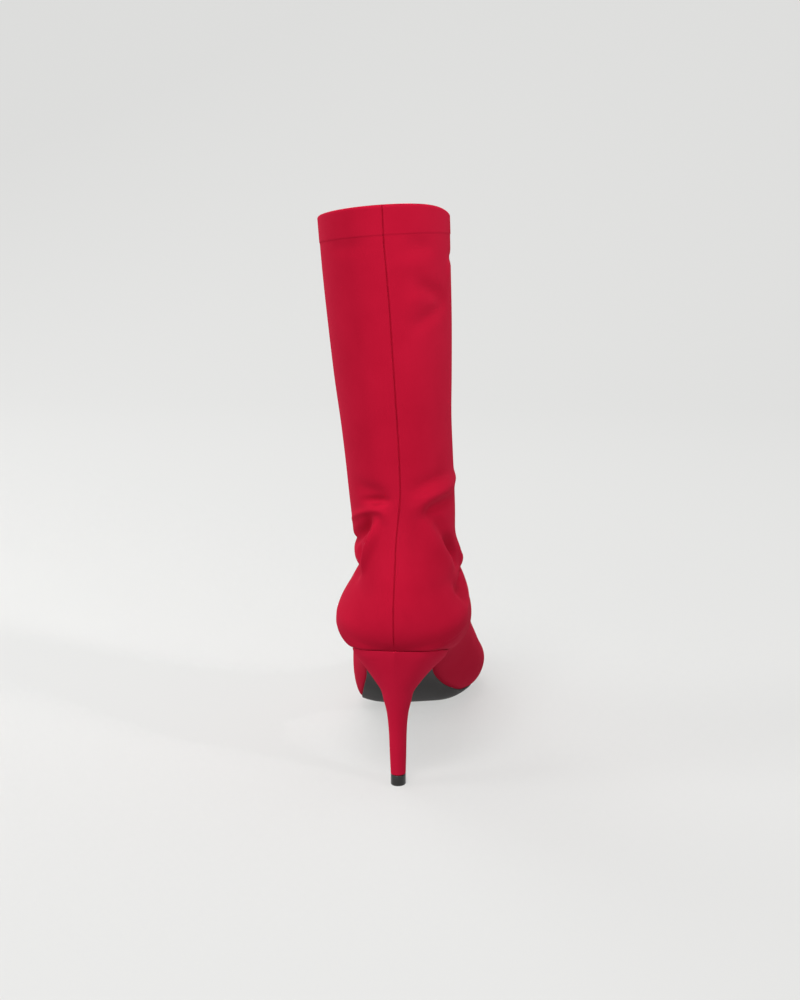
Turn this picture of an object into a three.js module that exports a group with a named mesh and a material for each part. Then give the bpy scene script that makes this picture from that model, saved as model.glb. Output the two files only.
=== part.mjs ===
// Stretch-fabric sock boot for the left foot, on a slim covered heel.
// Millimetres, +Z up, +Y toward the toe, +X toward the wearer's other foot.
// The origin is the middle of the heel tip's resting face, on the floor.

import * as THREE from 'three';

// Overall sizes
const LENGTH = 246; // back of the seat to the toe point, along the floor
const SEAT_BACK = -19; // the seat's back edge, behind the middle of the heel tip
const HEEL_HEIGHT = 77; // floor to the seat's back edge
const SHAFT_HEIGHT = 223; // seat's back edge to the collar, at the back
const BALL_WIDTH = 76; // widest part of the forefoot
const CUP_WIDTH = 70; // widest part of the heel cup
const INSTEP_HEIGHT = 63; // sole to the instep, over the arch
const COLLAR_WIDTH = 66;
const COLLAR_DEPTH = 98.6; // back to front, at the collar
const ANKLE_WIDTH = 53; // narrowest part above the heel cup

// Sole sizes
const SOLE_BALL_WIDTH = 65; // feather line at the ball
const SEAT_WIDTH = 51; // feather line at the seat
const TOE_SPRING = 6; // lift of the toe point over the ball
const LATERAL_LIFT = 3; // lift of the sole's lateral edge over its middle, at the ball
const MEDIAL_LIFT = 4; // and of its medial edge
const OUTSOLE = 2.4; // outsole thickness at the ball
const SHANK = 1.8; // outsole thickness along the arch
const OUTSOLE_EDGE = 0.45; // thickness of the outsole's edges, share of its middle's
const OUTSOLE_INSET = 0.4; // outsole edge inside the feather line
const OUTSOLE_TOE = 1.5; // outsole's point behind the toe point
const FLAT = 0.6; // how much the ball's middle is worn flat

// Fabric, margin and insole
const WALL = 1.6; // upper, wall
const MARGIN = 6; // upper turned under the foot
const INSOLE = 2; // insole thickness
const INSOLE_INSET = 4; // insole edge inside the feather line
const INSOLE_TOE = 12; // insole's point behind the toe point
const INSOLE_BACK = 6.4; // insole's back edge in front of the seat's
const GAP = 0.3; // clearance between touching pieces

// Heel
const BREAST = 26; // heel breast at the seat, in front of the tip
const TIP_WIDTH = 7.8;
const TIP_DEPTH = 9;
const TIP_HEIGHT = 5.7;

// The arch, from the seat to the toe: along is a share of LENGTH,
// rise a share of the heel's height over the ball, spring a share of TOE_SPRING.
const ARCH = [
  // along, rise, spring
  [0.0, 1.0, 0.0],
  [0.08, 0.945, 0.0],
  [0.16, 0.868, 0.0],
  [0.25, 0.768, 0.0],
  [0.35, 0.625, 0.0],
  [0.455, 0.38, 0.0],
  [0.54, 0.18, 0.0],
  [0.61, 0.055, 0.0],
  [0.67, 0.008, 0.0],
  [0.74, 0.0, 0.0],
  [0.86, 0.0, 0.3],
  [1.0, 0.0, 1.0],
];

// Sections of the foot and shaft, from the toe point, round the heel, up to the collar.
// along: where the section stands on the arch, or the back of the shaft, share of LENGTH
// up: height over the seat, share of SHAFT_HEIGHT; 0 on the arch
// front: where its crest lies, share of LENGTH
// crest: crest over the section's foot, share of INSTEP_HEIGHT
// medial, lateral: half widths, shares of the width at that place
// widest: height of the widest line, share of the section
// footIn, footOut: medial and lateral half widths of the feather line, same kind of share
// crown: 1 for a round top, more for a peaked one
// shift, crestShift: sideways shift of the section and of its crest, shares of CUP_WIDTH
// skew: how far the section turns toward the ball's slanted line
// tilt: how far its medial side lies above its lateral side
const SECTIONS = [
  // along, up, front, crest, medial, lateral, widest, footIn, footOut, crown, shift, crestShift, skew, tilt
  [0.998, 0.0, 0.998, 0.04, 0.0, 0.0, 0.45, 0.0, 0.0, 1.0, 0.014, 0.0, 0.0, 0.0],
  [0.992, 0.0, 0.994, 0.14, 0.06, 0.06, 0.45, 0.03, 0.03, 1.0, 0.014, 0.0, 0.0, 0.0],
  [0.968, 0.0, 0.972, 0.215, 0.118, 0.118, 0.42, 0.085, 0.085, 1.0, 0.014, 0.0, 0.0, 0.0],
  [0.928, 0.0, 0.932, 0.285, 0.184, 0.19, 0.4, 0.16, 0.16, 1.0, 0.014, 0.014, 0.0, 0.0],
  [0.874, 0.0, 0.878, 0.37, 0.263, 0.276, 0.38, 0.245, 0.255, 1.05, 0.014, 0.028, 0.06, 0.0],
  [0.81, 0.0, 0.81, 0.48, 0.342, 0.37, 0.37, 0.33, 0.375, 1.1, 0.014, 0.042, 0.15, 0.0],
  [0.742, 0.0, 0.735, 0.61, 0.402, 0.462, 0.36, 0.378, 0.485, 1.15, 0.007, 0.057, 0.24, 0.0],
  [0.674, 0.0, 0.66, 0.76, 0.422, 0.522, 0.36, 0.36, 0.545, 1.2, 0.0, 0.057, 0.28, 0.0],
  [0.606, 0.0, 0.592, 0.9, 0.412, 0.533, 0.37, 0.29, 0.548, 1.25, 0.0, 0.057, 0.28, 0.0],
  [0.532, 0.0, 0.545, 0.94, 0.39, 0.508, 0.38, 0.195, 0.5, 1.25, 0.0, 0.043, 0.24, 0.0],
  [0.455, 0.0, 0.52, 0.867, 0.38, 0.478, 0.4, 0.15, 0.455, 1.3, 0.0, 0.043, 0.18, 0.0],
  [0.378, 0.0, 0.51, 0.719, 0.39, 0.468, 0.39, 0.19, 0.452, 1.3, 0.0, 0.029, 0.12, 0.0],
  [0.3, 0.0, 0.5035, 0.594, 0.422, 0.478, 0.37, 0.3, 0.477, 1.28, 0.0, 0.029, 0.06, 0.0],
  [0.224, 0.0, 0.498, 0.481, 0.458, 0.49, 0.34, 0.41, 0.5, 1.25, 0.003, 0.014, 0.0, 0.0],
  [0.154, 0.0, 0.4935, 0.425, 0.482, 0.492, 0.32, 0.475, 0.5, 1.25, 0.005, 0.014, 0.0, 0.0],
  [0.096, 0.0, 0.4895, 0.398, 0.49, 0.492, 0.31, 0.465, 0.475, 1.22, 0.006, 0.0, 0.0, 0.0],
  [0.049, 0.0, 0.4855, 0.4, 0.492, 0.492, 0.3, 0.395, 0.4, 1.2, 0.006, 0.0, 0.0, 0.0],
  [0.017, 0.0, 0.482, 0.41, 0.492, 0.492, 0.3, 0.26, 0.26, 1.2, 0.01, 0.0, 0.0, 0.0],
  [0.0, 0.007, 0.4775, 0.411, 0.492, 0.492, 0.3, 0.0, 0.0, 1.2, 0.014, 0.0, 0.0, 0.0],
  [-0.011, 0.031, 0.4715, 0.38, 0.487, 0.487, 0.3, 0.0, 0.0, 1.2, 0.02, 0.0, 0.0, 0.0],
  [-0.015, 0.063, 0.4645, 0.333, 0.474, 0.474, 0.31, 0.0, 0.0, 1.2, 0.026, 0.0, 0.0, 0.0],
  [-0.012, 0.101, 0.457, 0.286, 0.487, 0.487, 0.33, 0.0, 0.0, 1.15, 0.03, 0.0, 0.0, 0.0],
  [-0.002, 0.143, 0.449, 0.256, 0.488, 0.488, 0.36, 0.0, 0.0, 1.1, 0.028, 0.0, 0.0, 0.0],
  [0.012, 0.193, 0.441, 0.23, 0.487, 0.487, 0.4, 0.0, 0.0, 1.05, 0.018, 0.0, 0.0, 0.0],
  [0.024, 0.251, 0.435, 0.198, 0.49, 0.49, 0.43, 0.0, 0.0, 1.0, 0.006, 0.0, 0.0, 0.0],
  [0.031, 0.318, 0.427, 0.175, 0.492, 0.492, 0.46, 0.0, 0.0, 1.0, -0.012, 0.0, 0.0, 0.0],
  [0.032, 0.395, 0.42, 0.15, 0.49, 0.49, 0.48, 0.0, 0.0, 1.0, -0.03, 0.0, 0.0, 0.0],
  [0.03, 0.484, 0.415, 0.12, 0.491, 0.491, 0.49, 0.0, 0.0, 1.0, -0.05, 0.0, 0.0, 0.0],
  [0.025, 0.592, 0.412, 0.07, 0.504, 0.504, 0.5, 0.0, 0.0, 1.0, -0.07, 0.0, 0.0, 0.0],
  [0.02, 0.722, 0.411, -0.01, 0.51, 0.51, 0.5, 0.0, 0.0, 1.0, -0.088, 0.0, 0.0, 0.03],
  [0.014, 0.865, 0.411, -0.12, 0.508, 0.508, 0.5, 0.0, 0.0, 1.0, -0.108, 0.0, 0.0, 0.07],
  [0.01, 1.0, 0.411, -0.22, 0.502, 0.502, 0.5, 0.0, 0.0, 1.0, -0.124, 0.0, 0.0, 0.085],
];

// The heel, from the seat down to the tip: down is a share of the heel's height,
// width a share of SEAT_WIDTH over the tip's, back and front shares of the way
// from the tip's back and front out to the seat's back and the breast,
// round 0 for the seat's outline to 1 for the stem's own section.
const HEEL_LEVELS = [
  // down, width, back, front, round
  [0.0, 1.0, 1.0, 1.0, 0.0],
  [0.045, 0.935, 0.95, 0.86, 0.05],
  [0.09, 0.8, 0.88, 0.73, 0.2],
  [0.14, 0.645, 0.8, 0.6, 0.42],
  [0.19, 0.505, 0.72, 0.49, 0.65],
  [0.25, 0.355, 0.63, 0.38, 0.85],
  [0.32, 0.208, 0.53, 0.285, 1.0],
  [0.4, 0.145, 0.42, 0.205, 1.0],
  [0.5, 0.075, 0.3, 0.14, 1.0],
  [0.65, 0.033, 0.17, 0.08, 1.0],
  [0.82, 0.018, 0.08, 0.035, 1.0],
  [1.0, 0.0, 0.0, 0.0, 1.0],
];

// Where one size runs into the next, from and to: the first, third and fourth as
// shares of LENGTH from the seat, the second of SHAFT_HEIGHT over the seat
const FOREFOOT = [0.2, 0.55]; // seat and cup widths become ball widths
const ANKLE = [0.03, 0.13]; // cup width becomes the shaft's
const EDGES_RISE = [0.3, 0.6]; // the sole's edges lift toward the ball
const EDGES_FALL = [0.88, 1]; // and come down again at the toe
const SHANK_ENDS = [0.35, 0.6]; // SHANK becomes OUTSOLE
const NARROWEST = 0.2; // where ANKLE_WIDTH is measured, share of SHAFT_HEIGHT

// Shapes of curves
const CORNER = 0.22; // how boxy a section is just over its feather line
const CORNER_FOOT = 0.3; // feather half width at which it is fully so, share of SEAT_WIDTH
const BREAST_FLAT = 0.55; // 1 for a stem pointed at its breast, less for a flatter one
const MITRE_LIMIT = 0.75; // least cosine by which the wall is stretched at a corner

// Mesh steps
const STEPS_PER_SECTION = 2;
const LEAST_STEP = 0.02; // sections are never nearer than this
const SIDE_STEPS = 16; // feather line to crest
const SOLE_STEPS = 10; // across the outsole and insole
const RING_STEPS = 12; // back of the heel to its breast
const RING_CROWDING = 1.3; // above 1, these steps are closer at the back
const SLOPE_STEP = 0.5; // half the length over which the arch's slope is taken
const WELD = 0.0005; // points nearer than this are one
const HALVINGS = 40;

function smoothstep(from, to, value) {
  const t = Math.min(1, Math.max(0, (value - from) / (to - from)));
  return t * t * (3 - 2 * t);
}

function mix(a, b, t) {
  return a + (b - a) * t;
}

// A row between the rows of a table, at a row number with a fraction (Catmull-Rom).
function rowAt(table, number) {
  const last = table.length - 1;
  const i = Math.min(last - 1, Math.max(0, Math.floor(number)));
  const t = number - i;
  const before = table[Math.max(0, i - 1)];
  const after = table[Math.min(last, i + 2)];
  return table[i].map((start, k) => {
    const end = table[i + 1][k];
    const leave = (end - before[k]) / 2;
    const arrive = (after[k] - start) / 2;
    const t2 = t * t;
    const t3 = t2 * t;
    return start * (2 * t3 - 3 * t2 + 1) + end * (3 * t2 - 2 * t3) + leave * (t3 - 2 * t2 + t) + arrive * (t3 - t2);
  });
}

// A row of a table at a value of its first column.
function rowAlong(table, value) {
  const last = table.length - 1;
  const clamped = Math.min(table[last][0], Math.max(table[0][0], value));
  let i = 0;
  while (i < last - 1 && table[i + 1][0] < clamped) {
    i += 1;
  }
  const slope = (j, k) => {
    const a = Math.max(0, j - 1);
    const b = Math.min(last, j + 1);
    return (table[b][k] - table[a][k]) / (table[b][0] - table[a][0]);
  };
  const span = table[i + 1][0] - table[i][0];
  const t = (clamped - table[i][0]) / span;
  const t2 = t * t;
  const t3 = t2 * t;
  return table[i].map((start, k) => {
    const end = table[i + 1][k];
    const leave = slope(i, k) * span;
    const arrive = slope(i + 1, k) * span;
    return start * (2 * t3 - 3 * t2 + 1) + end * (3 * t2 - 2 * t3) + leave * (t3 - 2 * t2 + t) + arrive * (t3 - t2);
  });
}

// Height of the upper's underside, at a place along the foot;
// across is -1 to 1 from one feather line to the other.
function soleHeight(y, across) {
  const along = (y - SEAT_BACK) / LENGTH;
  const ball = OUTSOLE + GAP - FLAT;
  const [, rise, spring] = rowAlong(ARCH, along);
  const edge = across > 0 ? MEDIAL_LIFT : LATERAL_LIFT;
  const lift = edge * smoothstep(...EDGES_RISE, along) * (1 - smoothstep(...EDGES_FALL, along));
  return ball + rise * (HEEL_HEIGHT - ball) + spring * TOE_SPRING + lift * across ** 4;
}

// One section, its table row turned into millimetres.
function sectionAt(number) {
  const row = rowAt(SECTIONS, number);
  const [along, up, front, crest, medial, lateral, widest, footIn, footOut, crown, shift, crestShift, skew, tilt] = row;
  const forefoot = smoothstep(...FOREFOOT, along);
  const cup = mix(CUP_WIDTH, BALL_WIDTH, forefoot);
  const shaft = mix(ANKLE_WIDTH, COLLAR_WIDTH, Math.max(0, up - NARROWEST) / (1 - NARROWEST));
  const width = mix(cup, shaft, smoothstep(...ANKLE, up));
  const sole = mix(SEAT_WIDTH, SOLE_BALL_WIDTH, forefoot);
  const y = SEAT_BACK + along * LENGTH;
  const edge = up > 0 || footIn <= 0 ? 0 : 1;
  return {
    y,
    z: [soleHeight(y, edge) + up * SHAFT_HEIGHT, soleHeight(y, -edge) + up * SHAFT_HEIGHT],
    crestY: mix(SEAT_BACK + front * LENGTH, y + COLLAR_DEPTH, smoothstep(NARROWEST, 1, up)),
    crest: crest * INSTEP_HEIGHT,
    half: [medial * width, lateral * width],
    foot: [Math.max(0, footIn * sole), Math.max(0, footOut * sole)],
    widest,
    crown,
    shift: shift * CUP_WIDTH,
    crestShift: crestShift * CUP_WIDTH,
    skew,
    tilt,
  };
}

// A point on a section. side is 0 medial or 1 lateral;
// way runs from 0 at the feather line to 1 at the crest.
function sidePoint(section, side, way) {
  const sign = side === 0 ? 1 : -1;
  const foot = section.foot[side];
  const half = section.half[side];
  let x;
  let height;
  if (way < 0.5) {
    const angle = way * Math.PI;
    x = foot + (half - foot) * Math.sin(angle);
    const corner = 1 - CORNER * smoothstep(0, CORNER_FOOT * SEAT_WIDTH, foot);
    height = section.widest * (1 - Math.cos(angle)) ** corner;
  } else {
    const angle = (way - 0.5) * Math.PI;
    x = half * Math.max(0, Math.cos(angle)) ** section.crown;
    height = section.widest + (1 - section.widest) * Math.sin(angle);
  }
  return new THREE.Vector3(
    section.shift + sign * x + section.crestShift * height * height,
    mix(section.y + section.skew * sign * x, section.crestY, height),
    mix(section.z[side], section.z[1], height) + section.crest * height + section.tilt * sign * x,
  );
}

// A point on the sole's plane, between the two feather lines of a section.
// across runs from -1 lateral to 1 medial; inset pulls the edges in.
function solePoint(section, across, inset) {
  const side = across >= 0 ? 0 : 1;
  const half = Math.max(0, section.foot[side] - inset);
  const x = across * half;
  const share = section.foot[side] > 0 ? x / section.foot[side] : 0;
  return new THREE.Vector3(section.shift + x, section.y + section.skew * x, soleHeight(section.y, share));
}

// The section number, toe to seat, that stands at a place along the foot.
function numberAt(y) {
  let low = 0;
  let high = SECTIONS.findIndex((row) => row[1] > 0);
  for (let i = 0; i < HALVINGS; i += 1) {
    const middle = (low + high) / 2;
    if (sectionAt(middle).y > y) {
      low = middle;
    } else {
      high = middle;
    }
  }
  return low;
}

// Section numbers from one to another, at the same even steps for every piece.
function numbersBetween(from, to) {
  const between = [];
  for (let i = Math.ceil(from * STEPS_PER_SECTION); i <= to * STEPS_PER_SECTION; i += 1) {
    between.push(i / STEPS_PER_SECTION);
  }
  return [from, ...between.filter((number) => Math.min(number - from, to - number) > LEAST_STEP), to];
}

// A list of corners in which points at the same place are one.
class Corners {
  constructor() {
    this.points = [];
    this.places = new Map();
  }

  index(point) {
    const key = [point.x, point.y, point.z].map((value) => Math.round(value / WELD)).join();
    if (!this.places.has(key)) {
      this.places.set(key, this.points.length);
      this.points.push(point);
    }
    return this.places.get(key);
  }
}

function addTriangle(triangles, a, b, c) {
  if (a !== b && b !== c && c !== a) {
    triangles.push([a, b, c]);
  }
}

function addQuad(triangles, a, b, c, d) {
  addTriangle(triangles, a, b, c);
  addTriangle(triangles, a, c, d);
}

function toGeometry(points, triangles) {
  const geometry = new THREE.BufferGeometry();
  geometry.setAttribute('position', new THREE.Float32BufferAttribute(points.flatMap((p) => [p.x, p.y, p.z]), 3));
  geometry.setIndex(triangles.flat());
  geometry.computeVertexNormals();
  return geometry;
}

// A solid through rings of equal length. In each ring, point i lies opposite
// point (length - 1 - i), and the end faces are ruled between such pairs.
function loft(rings) {
  const corners = new Corners();
  const triangles = [];
  const grid = rings.map((ring) => ring.map((point) => corners.index(point)));
  const count = rings[0].length;
  for (let r = 0; r < grid.length - 1; r += 1) {
    for (let i = 0; i < count; i += 1) {
      const j = (i + 1) % count;
      addQuad(triangles, grid[r][i], grid[r][j], grid[r + 1][j], grid[r + 1][i]);
    }
  }
  const first = grid[0];
  const last = grid[grid.length - 1];
  for (let i = 0; i < count / 2 - 1; i += 1) {
    const opposite = count - 1 - i;
    addQuad(triangles, first[i], first[opposite], first[opposite - 1], first[i + 1]);
    addQuad(triangles, last[i], last[i + 1], last[opposite - 1], last[opposite]);
  }
  return toGeometry(corners.points, triangles);
}

// The upper's outer skin: columns from the medial edge of the opening underneath,
// over the crest, to its lateral edge.
function upperColumns(number) {
  const section = sectionAt(number);
  const columns = [solePoint(section, 1, MARGIN), solePoint(section, 1, MARGIN / 2)];
  for (let i = 0; i <= SIDE_STEPS; i += 1) {
    columns.push(sidePoint(section, 0, i / SIDE_STEPS));
  }
  for (let i = SIDE_STEPS - 1; i >= 0; i -= 1) {
    columns.push(sidePoint(section, 1, i / SIDE_STEPS));
  }
  columns.push(solePoint(section, -1, MARGIN / 2), solePoint(section, -1, MARGIN));
  if (section.foot[0] === 0) {
    columns.fill(columns[2], 0, 2);
    columns.fill(columns[2], columns.length - 2);
  }
  return columns;
}

// Moves each corner of a skin inward by the wall, square to the faces round it.
function innerPoints(points, triangles) {
  const normals = triangles.map(([a, b, c]) => {
    const side = new THREE.Vector3().subVectors(points[b], points[a]);
    return side.cross(new THREE.Vector3().subVectors(points[c], points[a])).normalize();
  });
  const around = points.map(() => []);
  triangles.forEach((triangle, t) => {
    triangle.forEach((corner, k) => {
      const toNext = new THREE.Vector3().subVectors(points[triangle[(k + 1) % 3]], points[corner]);
      const toLast = new THREE.Vector3().subVectors(points[triangle[(k + 2) % 3]], points[corner]);
      around[corner].push({ normal: normals[t], angle: toNext.angleTo(toLast) });
    });
  });
  return points.map((point, i) => {
    const mean = new THREE.Vector3();
    around[i].forEach(({ normal, angle }) => mean.addScaledVector(normal, angle));
    mean.normalize();
    const facing = Math.min(...around[i].map(({ normal }) => normal.dot(mean)));
    return point.clone().addScaledVector(mean, -WALL / Math.max(MITRE_LIMIT, facing));
  });
}

// The upper, one hollow sock: the outer skin, the same skin a wall further in,
// and a rim round the collar and round the opening underneath.
function makeUpper() {
  const numbers = numbersBetween(0, SECTIONS.length - 1);
  const corners = new Corners();
  const grid = numbers.map((number) => upperColumns(number).map((point) => corners.index(point)));
  const skin = [];
  for (let r = 0; r < grid.length - 1; r += 1) {
    for (let i = 0; i < grid[0].length - 1; i += 1) {
      addQuad(skin, grid[r][i], grid[r][i + 1], grid[r + 1][i + 1], grid[r + 1][i]);
    }
  }
  const outer = corners.points;
  const inner = innerPoints(outer, skin);
  const triangles = [...skin];
  const shift = outer.length;
  skin.forEach(([a, b, c]) => triangles.push([a + shift, c + shift, b + shift]));
  const edges = new Set(skin.flatMap(([a, b, c]) => [`${a},${b}`, `${b},${c}`, `${c},${a}`]));
  edges.forEach((edge) => {
    const [a, b] = edge.split(',').map(Number);
    if (!edges.has(`${b},${a}`)) {
      addQuad(triangles, b, a, a + shift, b + shift);
    }
  });
  return toGeometry([...outer, ...inner], triangles);
}

// A board that follows the sole's plane: its upper face lies at a distance over that
// plane, square to the arch, and its under face a thickness below, never under the
// floor. edge is the thickness of its edges, as a share of the middle's.
function makeBoard(numbers, inset, over, thickness, edge) {
  const rings = numbers.map((number) => {
    const section = sectionAt(number);
    const rise = soleHeight(section.y + SLOPE_STEP, 0) - soleHeight(section.y - SLOPE_STEP, 0);
    const square = new THREE.Vector3(0, -rise, 2 * SLOPE_STEP).normalize();
    const shares = Array.from({ length: SOLE_STEPS + 1 }, (_, i) => 1 - (2 * i) / SOLE_STEPS);
    const face = (distance) => shares.map((across) => {
      const point = solePoint(section, across, inset);
      point.addScaledVector(square, distance(across));
      point.z = Math.max(0, point.z);
      return point;
    });
    const upper = face(() => over);
    const lower = face((across) => over - thickness(section) * mix(1, edge, across ** 4));
    return [...upper, ...lower.reverse()];
  });
  return loft(rings);
}

function makeOutsole() {
  const numbers = numbersBetween(numberAt(SEAT_BACK + LENGTH - OUTSOLE_TOE), numberAt(BREAST + GAP));
  const thickness = (section) => {
    const along = (section.y - SEAT_BACK) / LENGTH;
    return mix(SHANK, OUTSOLE, smoothstep(...SHANK_ENDS, along));
  };
  return makeBoard(numbers, OUTSOLE_INSET, -GAP, thickness, OUTSOLE_EDGE);
}

function makeInsole() {
  const numbers = numbersBetween(numberAt(SEAT_BACK + LENGTH - INSOLE_TOE), numberAt(SEAT_BACK + INSOLE_BACK));
  return makeBoard(numbers, INSOLE_INSET, WALL + GAP + INSOLE, () => INSOLE, 1);
}

// Half width of the stem's own section, t from -1 at its back to 1 at its breast.
function stemProfile(t) {
  return Math.sqrt(Math.max(0, 1 - (t < 0 ? 1 : BREAST_FLAT) * t * t));
}

// A ring of the heel or its tip, from the middle of the back, round the medial side
// to the breast, and home along the lateral side.
function ringFrom(medial, lateral) {
  return [...medial, ...lateral.reverse()];
}

function makeHeel() {
  const back = SECTIONS.findIndex((row) => row[1] > 0);
  const breast = numberAt(BREAST);
  const seat = Array.from({ length: RING_STEPS + 1 }, (_, k) => {
    const section = sectionAt(mix(back, breast, (k / RING_STEPS) ** RING_CROWDING));
    return { section, height: soleHeight(section.y, 0) - GAP };
  });
  const rings = HEEL_LEVELS.map(([down, width, backShare, frontShare, round]) => {
    const backY = mix(-TIP_DEPTH / 2, SEAT_BACK, backShare);
    const frontY = mix(TIP_DEPTH / 2, BREAST, frontShare);
    const half = mix(TIP_WIDTH, SEAT_WIDTH, width) / 2;
    const side = (which) => seat.map(({ section, height }) => {
      const t = (2 * (section.y - SEAT_BACK)) / (BREAST - SEAT_BACK) - 1;
      const profile = mix(section.foot[which] / (SEAT_WIDTH / 2), stemProfile(t), round);
      const sign = which === 0 ? 1 : -1;
      return new THREE.Vector3(
        section.shift * (1 - round) + sign * half * profile,
        mix(backY, frontY, (t + 1) / 2),
        mix(height, TIP_HEIGHT + GAP, down),
      );
    });
    return ringFrom(side(0), side(1));
  });
  return loft(rings.reverse());
}

function makeTip() {
  const levels = [0, TIP_HEIGHT];
  const rings = levels.map((z) => {
    const side = (sign) => Array.from({ length: RING_STEPS + 1 }, (_, k) => {
      const t = -Math.cos((k / RING_STEPS) * Math.PI);
      return new THREE.Vector3((sign * stemProfile(t) * TIP_WIDTH) / 2, (t * TIP_DEPTH) / 2, z);
    });
    return ringFrom(side(1), side(-1));
  });
  return loft(rings);
}

const redFabric = new THREE.MeshStandardMaterial({ color: 0xb41830, roughness: 0.85, metalness: 0 });
const blackSole = new THREE.MeshStandardMaterial({ color: 0x2a2527, roughness: 0.6, metalness: 0 });
const blackTip = new THREE.MeshStandardMaterial({ color: 0x282626, roughness: 0.5, metalness: 0 });
const insoleLining = new THREE.MeshStandardMaterial({ color: 0x8c1224, roughness: 0.8, metalness: 0 });

function named(name, geometry, material) {
  const mesh = new THREE.Mesh(geometry, material);
  mesh.name = name;
  return mesh;
}

const boot = new THREE.Group();
boot.add(named('upper', makeUpper(), redFabric));
boot.add(named('outsole', makeOutsole(), blackSole));
boot.add(named('heel', makeHeel(), redFabric.clone()));
boot.add(named('heel_tip', makeTip(), blackTip));
boot.add(named('insole', makeInsole(), insoleLining));

export default boot;
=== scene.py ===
# The looks of the sock boot: its fabric skin with seam, hem and creases, covered heel, tip,
# outsole and insole, on a pale studio floor. Sizes are in millimetres and the tables hold shares of
# them, as in the CAD, with its crest eased at the instep. Lights and stage are in metres.
import math

import bmesh
import bpy
import numpy as np
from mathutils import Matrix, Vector


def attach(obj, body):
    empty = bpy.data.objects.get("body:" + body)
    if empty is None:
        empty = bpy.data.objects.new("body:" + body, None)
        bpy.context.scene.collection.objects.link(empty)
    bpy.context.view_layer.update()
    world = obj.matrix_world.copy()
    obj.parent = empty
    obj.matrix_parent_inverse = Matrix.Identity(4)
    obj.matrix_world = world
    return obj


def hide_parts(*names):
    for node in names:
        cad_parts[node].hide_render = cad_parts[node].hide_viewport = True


MM = 0.001

# The CAD's sizes
LENGTH = 246.0
SEAT_BACK = -19.0
HEEL_HEIGHT = 77.0
SHAFT_HEIGHT = 223.0
BALL_WIDTH = 76.0
CUP_WIDTH = 70.0
INSTEP_HEIGHT = 63.0
COLLAR_WIDTH = 66.0
COLLAR_DEPTH = 98.6
ANKLE_WIDTH = 53.0
SOLE_BALL_WIDTH = 65.0
SEAT_WIDTH = 51.0
TOE_SPRING = 6.0
LATERAL_LIFT = 3.0
MEDIAL_LIFT = 4.0
OUTSOLE = 2.4
SHANK = 1.8
FLAT = 0.6
WALL = 1.6
MARGIN = 6.0
INSOLE = 2.0
INSOLE_INSET = 4.0
INSOLE_TOE = 12.0
INSOLE_BACK = 6.4
OUTSOLE_EDGE = 0.45
OUTSOLE_INSET = 0.4
OUTSOLE_TOE = 1.5
GAP = 0.3
BREAST = 26.0
TIP_WIDTH = 7.8
TIP_DEPTH = 9.0
TIP_HEIGHT = 5.7

# The fabric's hem: its height, the steps it makes outside and inside, half of its line's width
HEM_HEIGHT = 14.5
HEM_STEP = 0.22
HEM_INSIDE = 0.5
HEM_EDGE = 0.35

# How far the collar dips, and where: around and up are shares, as in the seam's path below
COLLAR_DROOP = 3.0
DROOP_PLACE = 0.55
DROOP_WIDTH = 0.17
DROOP_FROM = 0.945

# The back seam's groove and the rolls beside it, which fade out just over the seat
SEAM_DEPTH = 0.7
SEAM_HALF_WIDTH = 0.3
SEAM_ROLL = 0.15
SEAM_ROLL_PLACE = 2.2 * SEAM_HALF_WIDTH
SEAM_FADE = (0.007, 0.014)

# How a fold fades to its ends, how many widths it reaches, and the spread of around past which
# it crosses the front
FOLD_ENDS = (0.02, 0.98)
FOLD_FULLNESS = 0.8
FOLD_REACH = 3
FRONT_SPREAD = 1.2

# Rounded edges
HEEL_EDGE = 0.5
TIP_EDGE = 0.4
OUTSOLE_ROUNDING = 0.35
INSOLE_ROUNDING = 0.6

# How fine the meshes are, in millimetres from the seam, the hem's line, the rim and the feather line
SEAM_STEPS = (0.0, 0.2, 0.4, 0.65, 0.95, 1.4, 2.0)
HEM_STEPS = np.array([-1.6, -0.9, -0.45, -0.15, 0.15, 0.45, 0.9, 1.6])
RIM_STEPS = np.array([0.0, 0.05, 0.17, 0.36, 0.8, 1.4])
MARGIN_STEPS = (MARGIN, 3.0, 1.0)
ROW_STEP = 2.3
FOLD_ROW_STEP = 1.1
FOLDS_BEGIN = (0.06, 0.12)
FOLDS_END = (0.38, 0.5)
PROBES = np.array([[0.02, 0.35, 0.7, 1.0, -0.35]])
COLUMN_STEP = 0.0125
FOLD_STEPS = 48
ROW_SAMPLES = 3000
SECTION_SAMPLES = 4000
ROUND_STEPS = 5
BOARD_COLUMNS = 33
OUTSOLE_STEP = 0.1
INSOLE_STEP = 0.12
HEEL_COLUMNS = 41
HEEL_CROWDING = 1.3
HEEL_TOP_RINGS = (0.0, 0.001, 0.003, 0.006, 0.01, 0.016)
HEEL_RINGS = (0.024, 0.994, 80)
HEEL_FOOT_RINGS = (0.998, 1.0)
TIP_COLUMNS = 33

# Corners that count as one, in millimetres, and in Blender's metres
WELD = 0.0005
MERGE = 1e-7
SLIVER = 1e-8
TINY = 1e-9

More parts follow.
